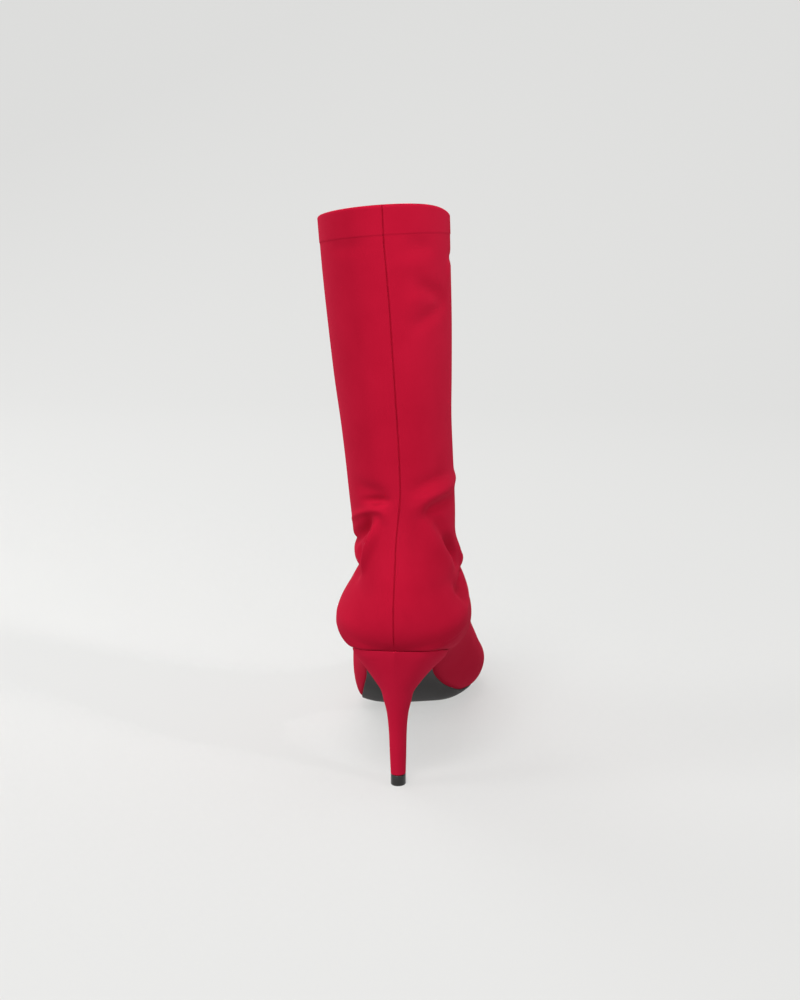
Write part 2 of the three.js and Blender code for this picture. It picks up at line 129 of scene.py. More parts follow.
# Colours, and the other values of the plain surfaces
FABRIC = {"light": (0.425, 0.0062, 0.0275), "dark": (0.395, 0.0052, 0.0245)}
# Painted light: the heel's cover is the upper's red fabric, made paler here to brighten the heel,
# which faces down and gets less light
HEEL_FABRIC_PAINTED_LIGHTER = {"light": (0.49, 0.0085, 0.036), "dark": (0.46, 0.007, 0.032)}
FABRIC_SHEEN = (1.0, 0.06, 0.14, 1)
FINISHES = {
    # name: colour, roughness, gloss, grain, depth of the grain in metres
    "lining": ((0.26, 0.012, 0.022), 0.9, 0.1, 900.0, 0.0002),
    "sole_finish": ((0.013, 0.011, 0.011), 0.55, 0.2, 700.0, 0.00015),
    "tip_finish": ((0.009, 0.0082, 0.0082), 0.3, 0.5, 900.0, 0.00005),
}

# Stage: the floor's half width and front, where it begins to curve up, the curve and the top
STAGE_SIDE = 3.2
STAGE_FRONT = -2.2
STAGE_BACK = 1.2
STAGE_RADIUS = 1.2
STAGE_TOP = 3.2
STAGE_STEPS = 16
PAPER = (0.26, 0.26, 0.256)
PAPER_GLOW = (0.5, 0.5, 0.493, 1)
SKY = (0.93, 0.94, 0.95, 1)
SKY_STRENGTH = 0.42

BOOT_MIDDLE = (0.0, 0.05, 0.16)
SHAFT_TOP = (0.0, 0.04, 0.31)
LIGHTS = [
    # name, place, size, power in watts, target, spread in degrees
    ("key", (-0.14, -2.0, 3.3), (1.1, 1.1), 56, BOOT_MIDDLE, 180),
    ("left_side", (-2.0, -0.7, 1.1), (0.8, 1.6), 19, BOOT_MIDDLE, 180),
    ("right_side", (1.8, -1.1, 1.3), (0.3, 0.3), 0.37, SHAFT_TOP, 16),
    ("low_front", (-0.6, -2.1, 0.35), (1.4, 0.4), 13, BOOT_MIDDLE, 180),
    ("toe_fill", (-0.9, 1.0, 1.1), (0.8, 0.8), 7, BOOT_MIDDLE, 180),
    ("top", (0.0, 0.3, 2.4), (2.4, 2.4), 14, BOOT_MIDDLE, 180),
]

# Camera, millimetres and degrees
PICTURE_WIDTH = 800
FOCAL_PIXELS = 2030
SENSOR_WIDTH = 36.0
CAMERA_PLACE = (121.9, -995.5, 364.0)
CAMERA_PITCH = 12.0
CAMERA_YAW = 6.75
CAMERA_ROLL = 0.5

ARCH = np.array([
    # along, rise, spring
    [0.0, 1.0, 0.0],
    [0.08, 0.945, 0.0],
    [0.16, 0.868, 0.0],
    [0.25, 0.768, 0.0],
    [0.35, 0.625, 0.0],
    [0.455, 0.38, 0.0],
    [0.54, 0.18, 0.0],
    [0.61, 0.055, 0.0],
    [0.67, 0.008, 0.0],
    [0.74, 0.0, 0.0],
    [0.86, 0.0, 0.3],
    [1.0, 0.0, 1.0],
])

SECTIONS = np.array([
    # along, up, front, crest, medial, lateral, widest,
    # foot_in, foot_out, crown, shift, crest_shift, skew, tilt
    [0.998, 0.0, 0.998, 0.04, 0.0, 0.0, 0.45, 0.0, 0.0, 1.0, 0.014, 0.0, 0.0, 0.0],
    [0.992, 0.0, 0.994, 0.14, 0.06, 0.06, 0.45, 0.03, 0.03, 1.0, 0.014, 0.0, 0.0, 0.0],
    [0.968, 0.0, 0.972, 0.215, 0.118, 0.118, 0.42, 0.085, 0.085, 1.0, 0.014, 0.0, 0.0, 0.0],
    [0.928, 0.0, 0.932, 0.285, 0.184, 0.19, 0.4, 0.16, 0.16, 1.0, 0.014, 0.014, 0.0, 0.0],
    [0.874, 0.0, 0.878, 0.37, 0.263, 0.276, 0.38, 0.245, 0.255, 1.05, 0.014, 0.028, 0.06, 0.0],
    [0.81, 0.0, 0.81, 0.48, 0.342, 0.37, 0.37, 0.33, 0.375, 1.1, 0.014, 0.042, 0.15, 0.0],
    [0.742, 0.0, 0.735, 0.61, 0.402, 0.462, 0.36, 0.378, 0.485, 1.15, 0.007, 0.057, 0.24, 0.0],
    [0.674, 0.0, 0.66, 0.76, 0.422, 0.522, 0.36, 0.36, 0.545, 1.2, 0.0, 0.057, 0.28, 0.0],
    [0.606, 0.0, 0.592, 0.9, 0.412, 0.533, 0.37, 0.29, 0.548, 1.25, 0.0, 0.057, 0.28, 0.0],
    [0.532, 0.0, 0.545, 0.94, 0.39, 0.508, 0.38, 0.195, 0.5, 1.25, 0.0, 0.043, 0.24, 0.0],
    [0.455, 0.0, 0.52, 0.867, 0.38, 0.478, 0.4, 0.15, 0.455, 1.3, 0.0, 0.043, 0.18, 0.0],
    [0.378, 0.0, 0.51, 0.719, 0.39, 0.468, 0.39, 0.19, 0.452, 1.3, 0.0, 0.029, 0.12, 0.0],
    [0.3, 0.0, 0.5035, 0.594, 0.422, 0.478, 0.37, 0.3, 0.477, 1.28, 0.0, 0.029, 0.06, 0.0],
    [0.224, 0.0, 0.498, 0.515, 0.458, 0.49, 0.34, 0.41, 0.5, 1.25, 0.003, 0.014, 0.0, 0.0],
    [0.154, 0.0, 0.4935, 0.458, 0.482, 0.492, 0.32, 0.475, 0.5, 1.25, 0.005, 0.014, 0.0, 0.0],
    [0.096, 0.0, 0.4895, 0.42, 0.49, 0.492, 0.31, 0.465, 0.475, 1.22, 0.006, 0.0, 0.0, 0.0],
    [0.049, 0.0, 0.4855, 0.407, 0.492, 0.492, 0.3, 0.395, 0.4, 1.2, 0.006, 0.0, 0.0, 0.0],
    [0.017, 0.0, 0.482, 0.412, 0.492, 0.492, 0.3, 0.26, 0.26, 1.2, 0.01, 0.0, 0.0, 0.0],
    [0.0, 0.007, 0.4775, 0.411, 0.492, 0.492, 0.3, 0.0, 0.0, 1.2, 0.014, 0.0, 0.0, 0.0],
    [-0.011, 0.031, 0.4715, 0.38, 0.487, 0.487, 0.3, 0.0, 0.0, 1.2, 0.02, 0.0, 0.0, 0.0],
    [-0.015, 0.063, 0.4645, 0.333, 0.474, 0.474, 0.31, 0.0, 0.0, 1.2, 0.026, 0.0, 0.0, 0.0],
    [-0.012, 0.101, 0.457, 0.286, 0.487, 0.487, 0.33, 0.0, 0.0, 1.15, 0.03, 0.0, 0.0, 0.0],
    [-0.002, 0.143, 0.449, 0.256, 0.488, 0.488, 0.36, 0.0, 0.0, 1.1, 0.028, 0.0, 0.0, 0.0],
    [0.012, 0.193, 0.441, 0.23, 0.487, 0.487, 0.4, 0.0, 0.0, 1.05, 0.018, 0.0, 0.0, 0.0],
    [0.024, 0.251, 0.435, 0.198, 0.49, 0.49, 0.43, 0.0, 0.0, 1.0, 0.006, 0.0, 0.0, 0.0],
    [0.031, 0.318, 0.427, 0.175, 0.492, 0.492, 0.46, 0.0, 0.0, 1.0, -0.012, 0.0, 0.0, 0.0],
    [0.032, 0.395, 0.42, 0.15, 0.49, 0.49, 0.48, 0.0, 0.0, 1.0, -0.03, 0.0, 0.0, 0.0],
    [0.03, 0.484, 0.415, 0.12, 0.491, 0.491, 0.49, 0.0, 0.0, 1.0, -0.05, 0.0, 0.0, 0.0],
    [0.025, 0.592, 0.412, 0.07, 0.504, 0.504, 0.5, 0.0, 0.0, 1.0, -0.07, 0.0, 0.0, 0.0],
    [0.02, 0.722, 0.411, -0.01, 0.51, 0.51, 0.5, 0.0, 0.0, 1.0, -0.088, 0.0, 0.0, 0.03],
    [0.014, 0.865, 0.411, -0.12, 0.508, 0.508, 0.5, 0.0, 0.0, 1.0, -0.108, 0.0, 0.0, 0.07],
    [0.01, 1.0, 0.411, -0.22, 0.502, 0.502, 0.5, 0.0, 0.0, 1.0, -0.124, 0.0, 0.0, 0.085],
])

HEEL_LEVELS = np.array([
    # down, width, back, front, round
    [0.0, 1.0, 1.0, 1.0, 0.0],
    [0.045, 0.935, 0.95, 0.86, 0.05],
    [0.09, 0.8, 0.88, 0.73, 0.2],
    [0.14, 0.645, 0.8, 0.6, 0.42],
    [0.19, 0.505, 0.72, 0.49, 0.65],
    [0.25, 0.355, 0.63, 0.38, 0.85],
    [0.32, 0.208, 0.53, 0.285, 1.0],
    [0.4, 0.145, 0.42, 0.205, 1.0],
    [0.5, 0.075, 0.3, 0.14, 1.0],
    [0.65, 0.033, 0.17, 0.08, 1.0],
    [0.82, 0.018, 0.08, 0.035, 1.0],
    [1.0, 0.0, 0.0, 0.0, 1.0],
])

# Where one size runs into the next, as in the CAD
FOREFOOT = (0.2, 0.55)
ANKLE = (0.03, 0.13)
EDGES_RISE = (0.3, 0.6)
EDGES_FALL = (0.88, 1.0)
SHANK_ENDS = (0.35, 0.6)
NARROWEST = 0.2
CORNER = 0.22
CORNER_FOOT = 0.3
BREAST_FLAT = 0.55
MITRE_LIMIT = 0.75

# Rows of SECTIONS: the first above the seat, and the collar
SEAT_ROW = int(np.argmax(SECTIONS[:, 1] > 0))
COLLAR_ROW = len(SECTIONS) - 1

# Where the back seam runs: up is a share of SHAFT_HEIGHT over the seat, around a share
# of the way from the middle of the back to the front, positive on the medial side.
SEAM_PATH = np.array([
    # up, around
    [0.0, 0.0],
    [0.06, -0.008],
    [0.12, -0.013],
    [0.19, 0.0],
    [0.25, 0.014],
    [0.30, 0.036],
    [0.354, 0.058],
    [0.42, 0.067],
    [0.48, 0.071],
    [0.583, 0.069],
    [0.7, 0.064],
    [0.8, 0.06],
    [0.924, 0.05],
    [1.0, 0.05],
])

# Creases of the shaft. Each runs through three places, given as around and up in the
# same shares as the seam's; width and height in mm, a negative height is a trough.
SHAFT_FOLDS = [
    # around, up, around, up, around, up, width, height
    # lateral side: the wedge over the ankle, the bulge, the pocket under it and its lip
    (-0.22, 0.362, -0.11, 0.362, -0.01, 0.354, 4.2, -1.8),
    (-0.2, 0.334, -0.1, 0.343, -0.005, 0.345, 1.9, -2.6),
    (-0.4, 0.256, -0.17, 0.312, -0.055, 0.317, 1.5, 1.7),
    (-0.07, 0.326, -0.045, 0.314, -0.043, 0.295, 2.0, 0.9),
    (-0.36, 0.222, -0.215, 0.262, -0.14, 0.3, 3.0, -4.8),
    (-0.28, 0.222, -0.19, 0.262, -0.115, 0.3, 1.8, 1.4),
    (-0.11, 0.292, -0.155, 0.235, -0.25, 0.165, 2.3, 4.8),
    (-0.235, 0.235, -0.28, 0.206, -0.28, 0.176, 2.2, -1.6),
    (-0.28, 0.226, -0.42, 0.206, -0.58, 0.2, 2.2, -2.2),
    (-0.3, 0.156, -0.42, 0.136, -0.6, 0.13, 4.4, -4.2),
    # medial side: the ridge down to the seam, the hollow under it and the bulge over the cup
    (0.5, 0.336, 0.56, 0.326, 0.66, 0.32, 3.0, 1.0),
    (0.51, 0.322, 0.262, 0.342, 0.135, 0.318, 4.6, 3.0),
    (0.15, 0.364, 0.235, 0.37, 0.39, 0.365, 4.0, -1.1),
    (0.5, 0.298, 0.28, 0.312, 0.22, 0.298, 3.6, -2.3),
    (0.225, 0.3, 0.33, 0.247, 0.46, 0.16, 4.4, -2.4),
    (0.38, 0.215, 0.49, 0.168, 0.54, 0.13, 3.4, -6.0),
    (0.2, 0.287, 0.285, 0.22, 0.46, 0.14, 6.5, 1.6),
    (0.56, 0.165, 0.62, 0.11, 0.62, 0.085, 4.8, 3.4),
    (0.44, 0.1, 0.56, 0.066, 0.72, 0.06, 4.2, -4.8),
    (0.133, 0.295, 0.145, 0.245, 0.14, 0.2, 4.0, -0.7),
    # top of the shaft
    (0.18, 0.914, 0.235, 0.905, 0.3, 0.897, 4.0, -1.1),
    (0.09, 0.866, 0.175, 0.867, 0.26, 0.858, 3.5, 0.6),
    (0.44, 0.884, 0.52, 0.878, 0.6, 0.874, 1.8, -1.4),
    (0.2, 0.822, 0.31, 0.802, 0.4, 0.778, 3.6, -1.6),
    (0.445, 0.864, 0.447, 0.842, 0.445, 0.82, 2.6, 0.7),
    (0.13, 0.774, 0.187, 0.786, 0.24, 0.796, 4.5, 0.7),
    (0.18, 0.728, 0.283, 0.751, 0.42, 0.77, 4.0, -1.3),
    (-0.25, 0.921, -0.14, 0.914, -0.04, 0.92, 3.2, -0.7),
    # front of the ankle
    (-0.72, 0.2, -0.98, 0.17, 0.74, 0.19, 5.0, -1.6),
    (-0.66, 0.285, -0.96, 0.255, 0.7, 0.29, 5.0, -1.3),
    (-0.7, 0.243, -0.98, 0.213, 0.72, 0.24, 5.0, 1.2),
]


def smoothstep(start, end, value):
    t = np.clip((value - start) / (end - start), 0.0, 1.0)
    return t * t * (3 - 2 * t)


def mix(a, b, t):
    return a + (b - a) * t


def bell(distance, width):
    return np.exp(-((distance / width) ** 2))


def hermite(start, end, leave, arrive, t):
    t2 = t * t
    t3 = t2 * t
    held = start * (2 * t3 - 3 * t2 + 1) + end * (3 * t2 - 2 * t3)
    return held + leave * (t3 - 2 * t2 + t) + arrive * (t3 - t2)


def rows_at(table, numbers):
    """Rows between the rows of a table, at row numbers with fractions."""
    numbers = np.asarray(numbers, float)
    last = len(table) - 1
    i = np.clip(np.floor(numbers).astype(int), 0, last - 1)
    start = table[i]
    end = table[i + 1]
    leave = (end - table[np.maximum(i - 1, 0)]) / 2
    arrive = (table[np.minimum(i + 2, last)] - start) / 2
    return hermite(start, end, leave, arrive, (numbers - i)[:, None])


def rows_along(table, values):
    """Rows of a table at values of its first column."""
    last = len(table) - 1
    values = np.clip(np.atleast_1d(np.asarray(values, float)), table[0, 0], table[last, 0])
    i = np.clip(np.searchsorted(table[:, 0], values) - 1, 0, last - 1)
    before = np.maximum(np.arange(last + 1) - 1, 0)
    after = np.minimum(np.arange(last + 1) + 1, last)
    slopes = (table[after] - table[before]) / (table[after, 0] - table[before, 0])[:, None]
    span = (table[i + 1, 0] - table[i, 0])[:, None]
    t = (values[:, None] - table[i, 0][:, None]) / span
    return hermite(table[i], table[i + 1], slopes[i] * span, slopes[i + 1] * span, t)


def sole_height(y, across):
    """Height of the upper's underside, across -1 to 1 from feather line to feather line."""
    y = np.asarray(y, float)
    along = (y - SEAT_BACK) / LENGTH
    ball = OUTSOLE + GAP - FLAT
    rows = rows_along(ARCH, along.ravel())
    rise = rows[:, 1].reshape(y.shape)
    spring = rows[:, 2].reshape(y.shape)
    edge = np.where(np.asarray(across) > 0, MEDIAL_LIFT, LATERAL_LIFT)
    lift = edge * smoothstep(*EDGES_RISE, along) * (1 - smoothstep(*EDGES_FALL, along))
    return ball + rise * (HEEL_HEIGHT - ball) + spring * TOE_SPRING + lift * across ** 4


def sections_at(numbers):
    """Sections in millimetres, each value a column with one row per section."""
    rows = rows_at(SECTIONS, numbers)
    along, up, front, crest, medial, lateral, widest = (rows[:, k] for k in range(7))
    foot_in, foot_out, crown, shift, crest_shift, skew, tilt = (rows[:, k] for k in range(7, 14))
    forefoot = smoothstep(*FOREFOOT, along)
    cup = mix(CUP_WIDTH, BALL_WIDTH, forefoot)
    shaft = mix(ANKLE_WIDTH, COLLAR_WIDTH, np.maximum(0, up - NARROWEST) / (1 - NARROWEST))
    width = mix(cup, shaft, smoothstep(*ANKLE, up))
    sole = mix(SEAT_WIDTH, SOLE_BALL_WIDTH, forefoot)
    y = SEAT_BACK + along * LENGTH
    edge = np.where((up > 0) | (foot_in <= 0), 0.0, 1.0)
    columns = {
        "y": y,
        "z_in": sole_height(y, edge) + up * SHAFT_HEIGHT,
        "z_out": sole_height(y, -edge) + up * SHAFT_HEIGHT,
        "crest_y": mix(SEAT_BACK + front * LENGTH, y + COLLAR_DEPTH, smoothstep(NARROWEST, 1, up)),
        "crest": crest * INSTEP_HEIGHT,
        "half_in": medial * width,
        "half_out": lateral * width,
        "foot_in": np.maximum(0, foot_in * sole),
        "foot_out": np.maximum(0, foot_out * sole),
        "widest": widest,
        "crown": crown,
        "shift": shift * CUP_WIDTH,
        "crest_shift": crest_shift * CUP_WIDTH,
        "skew": skew,
        "tilt": tilt,
        "up": up,
        "along": along,
    }
    return {name: column[:, None] for name, column in columns.items()}


def skin_points(s, around, side=1.0):
    """Points of the skin, around 0 at the feather line or back seam to 1 at the crest,
    positive on the medial side and negative on the lateral one; side decides at 0."""
    medial = (around > 0) | ((around == 0) & (side > 0))
    sign = np.where(medial, 1.0, -1.0)
    way = np.abs(around)
    foot = np.where(medial, s["foot_in"], s["foot_out"])
    half = np.where(medial, s["half_in"], s["half_out"])
    low = np.minimum(way, 0.5) * math.pi
    high = np.clip(way - 0.5, 0, 0.5) * math.pi
    corner = 1 - CORNER * smoothstep(0, CORNER_FOOT * SEAT_WIDTH, foot)
    x_low = foot + (half - foot) * np.sin(low)
    x_high = half * np.maximum(0, np.cos(high)) ** s["crown"]
    h_low = s["widest"] * (1 - np.cos(low)) ** corner
    h_high = s["widest"] + (1 - s["widest"]) * np.sin(high)
    x = sign * np.where(way < 0.5, x_low, x_high)
    height = np.where(way < 0.5, h_low, h_high)
    low_z = np.where(medial, s["z_in"], s["z_out"])
    return np.stack([
        s["shift"] + x + s["crest_shift"] * height * height,
        mix(s["y"] + s["skew"] * x, s["crest_y"], height),
        mix(low_z, s["z_out"], height) + s["crest"] * height + s["tilt"] * x,
    ], axis=-1)


def sole_points(s, across, inset):
    """Points of the sole's plane, across -1 lateral to 1 medial, edges pulled in by inset."""
    foot = np.where(across >= 0, s["foot_in"], s["foot_out"])
    x = across * np.maximum(0, foot - inset)
    share = np.where(foot > 0, x / np.maximum(foot, TINY), 0)
    y = s["y"] + 0 * x
    return np.stack([s["shift"] + x, y + s["skew"] * x, sole_height(y, share)], axis=-1)


def number_at(y):
    """The section, toe to seat, that stands at a place along the foot."""
    numbers = np.linspace(0, SEAT_ROW, SECTION_SAMPLES)
    places = sections_at(numbers)["y"][:, 0]
    return float(np.interp(-y, -places, numbers))


def number_up(up):
    """The section of the shaft at a share of its height."""
    numbers = np.linspace(SEAT_ROW - 1, COLLAR_ROW, SECTION_SAMPLES)
    return np.interp(up, sections_at(numbers)["up"][:, 0], numbers)


def seam_around(up):
    """How far round from the middle of the back the seam lies."""
    return rows_along(SEAM_PATH, up)[:, 1]


def row_numbers():
    """Section numbers of the fine mesh: even steps over the skin, closer where the fabric
    folds, at the hem and at the rim."""
    fine = np.linspace(0, COLLAR_ROW, ROW_SAMPLES)
    s = sections_at(fine)
    steps = np.linalg.norm(np.diff(skin_points(s, PROBES), axis=0), axis=2).max(axis=1)
    up = s["up"][:-1, 0]
    folded = smoothstep(*FOLDS_BEGIN, up) * (1 - smoothstep(*FOLDS_END, up))
    spacing = mix(ROW_STEP, FOLD_ROW_STEP, folded)
    travel = np.concatenate([[0], np.cumsum(steps / spacing)])
    numbers = np.interp(np.linspace(0, travel[-1], int(travel[-1]) + 1), travel, fine)
    hem = 1 - HEM_HEIGHT / SHAFT_HEIGHT + HEM_STEPS / SHAFT_HEIGHT
    rim = 1 - RIM_STEPS / SHAFT_HEIGHT
    special = number_up(np.concatenate([hem, rim]))
    span = 0.5 * (number_up(1.0) - number_up(1 - 1 / SHAFT_HEIGHT))
    kept = [n for n in numbers if np.abs(special - n).min() > span]
    return np.unique(np.concatenate([kept, special]))


def side_ways():
    """Shares of the way from the seam to the crest, closer together beside the seam."""
    beside = np.array(SEAM_STEPS) / (math.pi * COLLAR_WIDTH / 2)
    count = int(round(1 / COLUMN_STEP))
    even = np.linspace(beside[-1], 1, count)
    return np.concatenate([beside[:-1], even])


def grid_faces(rows, columns):
    r, c = np.meshgrid(np.arange(rows - 1), np.arange(columns - 1), indexing="ij")
    first = (r * columns + c).ravel()
    return np.stack([first, first + 1, first + columns + 1, first + columns], axis=1)


def weld(points, faces):
    """One corner where several share a place. Gives which corners are kept and the faces
    between them, without the corners that fell together."""
    keys = np.round(points / WELD).astype(np.int64)
    _, kept, index = np.unique(keys, axis=0, return_index=True, return_inverse=True)
    index = index.ravel()
    clean = []
    for face in index[faces].tolist():
        corners = [v for k, v in enumerate(face) if v != face[k - 1]]
        if len(corners) > 2 and len(set(corners)) == len(corners):
            clean.append(corners)
    return kept, clean


def corner_normals(points, faces):
    """Normals at the corners, and how squarely each faces the flattest of its faces."""
    quads = np.array([face if len(face) == 4 else face + face[-1:] for face in faces])
    a, b, c, d = (points[quads[:, k]] for k in range(4))
    flat = np.cross(c - a, d - b)
    total = np.zeros_like(points)
    for k in range(4):
        np.add.at(total, quads[:, k], flat)
    total /= np.maximum(np.linalg.norm(total, axis=1), TINY)[:, None]
    flat /= np.maximum(np.linalg.norm(flat, axis=1), TINY)[:, None]
    facing = np.ones(len(points))
    for k in range(4):
        np.minimum.at(facing, quads[:, k], (total[quads[:, k]] * flat).sum(axis=1))
    return total, facing


def fold_places(fold):
    """Points along a crease, on the plain skin, and how full it is at each."""
    around = np.array(fold[0:6:2])
    if around.max() - around.min() > FRONT_SPREAD:
        around = np.where(around < 0, around + 2, around)
    up = np.array(fold[1:6:2])
    t = np.linspace(0, 1, FOLD_STEPS)
    through = np.stack([(1 - t) * (1 - 2 * t), 4 * t * (1 - t), t * (2 * t - 1)])
    around = around @ through
    around = np.where(around > 1, around - 2, around)
    points = skin_points(sections_at(number_up(up @ through)), around[:, None])[:, 0]
    return points, np.sin(mix(*FOLD_ENDS, t) * math.pi) ** FOLD_FULLNESS


def fold_heights(points):
    """How far the creases lift or sink each point of the skin."""
    total = np.zeros(len(points))
    for fold in SHAFT_FOLDS:
        width, height = fold[6:]
        places, fullness = fold_places(fold)
        middle = places.mean(axis=0)
        reach = np.linalg.norm(places - middle, axis=1).max() + FOLD_REACH * width
        chosen = np.linalg.norm(points - middle, axis=1) < reach
        distance = np.linalg.norm(points[chosen][:, None] - places[None], axis=2)
        total[chosen] += height * (fullness * bell(distance, width)).max(axis=1)
    return total


def seam_heights(distance, up):
    """The back seam: a fine groove between two low rolls, from the collar to the heel."""
    rolls = SEAM_ROLL * bell(distance - SEAM_ROLL_PLACE, SEAM_HALF_WIDTH)
    groove = SEAM_DEPTH * bell(distance, SEAM_HALF_WIDTH)
    return (rolls - groove) * smoothstep(*SEAM_FADE, up)


def mesh_object(name, points, faces, materials, indices=None):
    """A smooth mesh of points in millimetres, its doubled corners merged."""
    mesh = bpy.data.meshes.new(name)
    mesh.from_pydata((np.asarray(points) * MM).tolist(), [], faces)
    for material in materials:
        mesh.materials.append(material)
    if indices is not None:
        mesh.polygons.foreach_set("material_index", indices)
    shape = bmesh.new()
    shape.from_mesh(mesh)
    bmesh.ops.remove_doubles(shape, verts=shape.verts, dist=MERGE)
    bmesh.ops.dissolve_degenerate(shape, edges=shape.edges, dist=SLIVER)
    bmesh.ops.recalc_face_normals(shape, faces=shape.faces)
    shape.to_mesh(mesh)
    shape.free()
    mesh.shade_smooth()
    piece = bpy.data.objects.new(name, mesh)
    bpy.context.scene.collection.objects.link(piece)
    return piece


def skin_grid():
    """The upper's plain skin as a grid, with each point's height share, side and distance
    from the back seam. Columns run from the medial margin over the crest to the lateral."""
    s = sections_at(row_numbers())
    ways = side_ways()
    around = np.concatenate([ways, -ways[-2::-1]])[None]
    side = np.where(np.arange(around.shape[1]) < len(ways), 1.0, -1.0)[None]
    seam = np.where(s["foot_in"] > 0, 0, seam_around(s["up"][:, 0])[:, None])
    turned = around + seam * (1 - np.abs(around))
    skin = skin_points(s, turned, side)
    droop = COLLAR_DROOP * bell(turned - DROOP_PLACE, DROOP_WIDTH)
    skin[..., 2] -= droop * smoothstep(DROOP_FROM, 1, s["up"])
    medial = [sole_points(s, np.array([[1.0]]), inset) for inset in MARGIN_STEPS]
    lateral = [sole_points(s, np.array([[-1.0]]), inset) for inset in MARGIN_STEPS[::-1]]
    closed = s["foot_in"][:, 0] <= 0
    for strip in medial + lateral:
        strip[closed] = skin[closed, :1]
    count = len(MARGIN_STEPS)
    grid = np.concatenate([*medial, skin, *lateral], axis=1)
    steps = np.linalg.norm(np.diff(grid, axis=1), axis=2)
    travel = np.concatenate([np.zeros((len(grid), 1)), np.cumsum(steps, axis=1)], axis=1)
    last = grid.shape[1] - count - 1
    distance = np.abs(np.minimum(travel - travel[:, [count]], travel[:, [last]] - travel))
    up = np.broadcast_to(s["up"], distance.shape)
    return grid, up.ravel(), distance.ravel()


def wall_offsets(below, facing):
    """How far the wall reaches out from the skin and in from it, at places below the rim:
    thicker at the hem, with the rim turned over in a round."""
    hem = 1 - smoothstep(HEM_HEIGHT - HEM_EDGE, HEM_HEIGHT + HEM_EDGE, below)
    outside = HEM_STEP * hem
    inside = WALL / np.maximum(MITRE_LIMIT, facing) + HEM_INSIDE * hem
    radius = (outside + inside) / 2
    turned = np.clip(radius - below, 0, radius) / radius
    turn = radius * (1 - np.sqrt(1 - turned ** 2))
    return outside - turn, inside - turn


def rim_faces(faces, shift, up):
    """Faces that close the wall round the opening underneath and leave the collar's rim,
    where both skins meet."""
    edges = set()
    for face in faces:
        for k in range(len(face)):
            edges.add((face[k - 1], face[k]))
    loose = [(a, b) for a, b in edges if (b, a) not in edges and up[a] < 0.5]
    return [[b, a, a + shift, b + shift] for a, b in sorted(loose)]


def make_upper(fabric, lining):
    """The sock: its outer skin, and inside it the lining with the fabric's turned hem."""
    grid, up, seam_distance = skin_grid()
    rows, columns = grid.shape[:2]
    kept, faces = weld(grid.reshape(-1, 3), grid_faces(rows, columns))
    skin = grid.reshape(-1, 3)[kept]
    up = up[kept]
    seam_distance = seam_distance[kept]
    normals, _ = corner_normals(skin, faces)
    skin = skin + normals * fold_heights(skin)[:, None]
    normals, facing = corner_normals(skin, faces)
    below = (1 - up) * SHAFT_HEIGHT
    outside, inside = wall_offsets(below, facing)
    outer = skin + normals * (outside + seam_heights(seam_distance, up))[:, None]
    inner = skin - normals * inside[:, None]
    shift = len(outer)
    inner_faces = [[v + shift for v in reversed(face)] for face in faces]
    rim = rim_faces(faces, shift, up)
    in_hem = [all(below[v] < HEM_HEIGHT for v in face) for face in faces]
    indices = [0] * len(faces) + [0 if folded else 1 for folded in in_hem] + [0] * len(rim)
    points = np.concatenate([outer, inner])
    return mesh_object("upper_shell", points, faces + inner_faces + rim, [fabric, lining], indices)


def loft_object(name, rings, materials):
    """A closed solid through rings of equal length, its ends filled."""
    count = len(rings[0])
    faces = []
    for r in range(len(rings) - 1):
        for i in range(count):
            j = (i + 1) % count
            faces.append([r * count + i, r * count + j, (r + 1) * count + j, (r + 1) * count + i])
    first = list(range(count))
    last = [(len(rings) - 1) * count + i for i in range(count)]
    for ring in (first, last):
        for i in range(count // 2 - 1):
            faces.append([ring[i], ring[count - 1 - i], ring[count - 2 - i], ring[i + 1]])
    return mesh_object(name, np.concatenate(rings), faces, materials)


def numbers_between(start, end, step):
    count = int(math.ceil((end - start) / step))
    return np.linspace(start, end, count + 1)


def rounded_edge(radius):
    """Steps round an edge: how far each is cut in from the side and dropped from the face."""
    turns = np.linspace(0, math.pi / 2, ROUND_STEPS)
    return radius * (1 - np.sin(turns)), radius * (1 - np.cos(turns))


def make_board(name, numbers, inset, over, thickness, edge, rounding, material):
    """A board along the sole's plane with rounded edges. over is its upper face's distance
    from that plane, square to the arch, and edge its edges' share of the thickness."""
    cuts, drops = rounded_edge(rounding)
    s = sections_at(numbers)
    rise = sole_height(s["y"] + 0.5, 0) - sole_height(s["y"] - 0.5, 0)
    square = np.stack([0 * rise, -rise, 1 + 0 * rise], axis=-1)
    square /= np.linalg.norm(square, axis=-1, keepdims=True)
    across = np.linspace(1, -1, BOARD_COLUMNS)[None]
    under = over - thickness * mix(1, edge, across ** 4)

    def strip(shares, cut, distance):
        points = sole_points(s, shares, inset + cut)
        return points + square * np.asarray(distance)[..., None]

    def turned(share, start, sign):
        pairs = list(zip(cuts, drops))
        pairs = pairs[1:] if sign < 0 else pairs[:0:-1]
        return [strip(np.array([[share]]), cut, start + sign * drop) for cut, drop in pairs]

    last = under[:, -1:]
    parts = [strip(across, rounding, over), *turned(-1.0, over, -1), *turned(-1.0, last, 1)]
    parts += [strip(across[:, ::-1], rounding, under[:, ::-1])]
    parts += [*turned(1.0, last, 1)[::-1], *turned(1.0, over, -1)[::-1]]
    rings = np.concatenate(parts, axis=1)
    rings[..., 2] = np.maximum(0, rings[..., 2])
    rings = np.roll(rings, len(cuts) - 1, axis=1)
    return loft_object(name, list(rings), [material])


